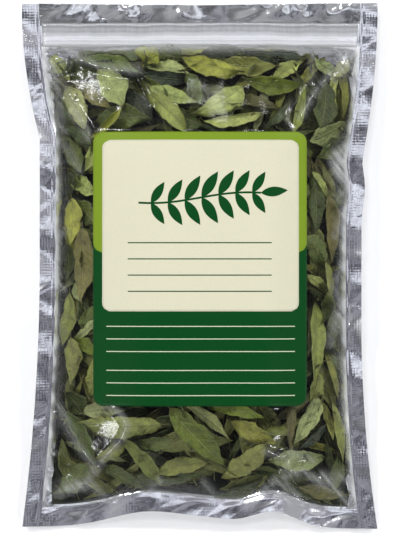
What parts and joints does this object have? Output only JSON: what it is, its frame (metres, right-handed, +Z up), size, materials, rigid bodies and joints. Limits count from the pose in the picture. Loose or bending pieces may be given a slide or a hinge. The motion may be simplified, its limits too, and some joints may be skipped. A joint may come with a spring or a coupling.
{
  "type": "zip pouch of dried leaves",
  "caption": "Flat press-to-close pouch, clear film in front and foil at the back, sealed on three sides, packed with loose dried curry leaves, with a label on the front.",
  "frame": {"origin": "under the middle of the pouch, on the surface that its back lies on", "axes": "+X across the pouch, +Y along it towards the zip, +Z up out of the clear front"},
  "size_m": [0.2, 0.2956, 0.0444],
  "materials": {
    "clear_film": "clear, glossy, softly wrinkled",
    "foil": "bright metallised film, knurled at the side seals",
    "zip": "milky, semi-clear, with fine ridges along it",
    "label": "printed sticker, light green over dark green, with a cream panel",
    "leaf_heap": "dried leaves, matt, mixed greens",
    "leaf_olive": "dried leaf, underside, matt olive",
    "leaf_green": "dried leaf, satin mid green",
    "leaf_yellow": "dried leaf, matt yellow-green",
    "leaf_dark": "dried leaf, upper side, satin dark green"
  },
  "bodies": {
    "root": {"back_film": "foil", "front_film": "clear_film", "zip_groove_strip": "zip", "zip_rib_strip": "zip", "label": "label", "leaf_heap": "leaf_heap", "leaf_01": "leaf_olive", "leaf_02": "leaf_green", "leaf_03": "leaf_green", "leaf_04": "leaf_yellow", "leaf_05": "leaf_olive", "leaf_06": "leaf_olive", "leaf_07": "leaf_dark", "leaf_08": "leaf_olive", "leaf_09": "leaf_olive", "leaf_10": "leaf_olive", "leaf_11": "leaf_yellow", "leaf_12": "leaf_green", "leaf_13": "leaf_green", "leaf_14": "leaf_yellow", "leaf_15": "leaf_olive", "leaf_16": "leaf_olive", "leaf_17": "leaf_olive", "leaf_18": "leaf_dark"}
  },
  "joints": []
}
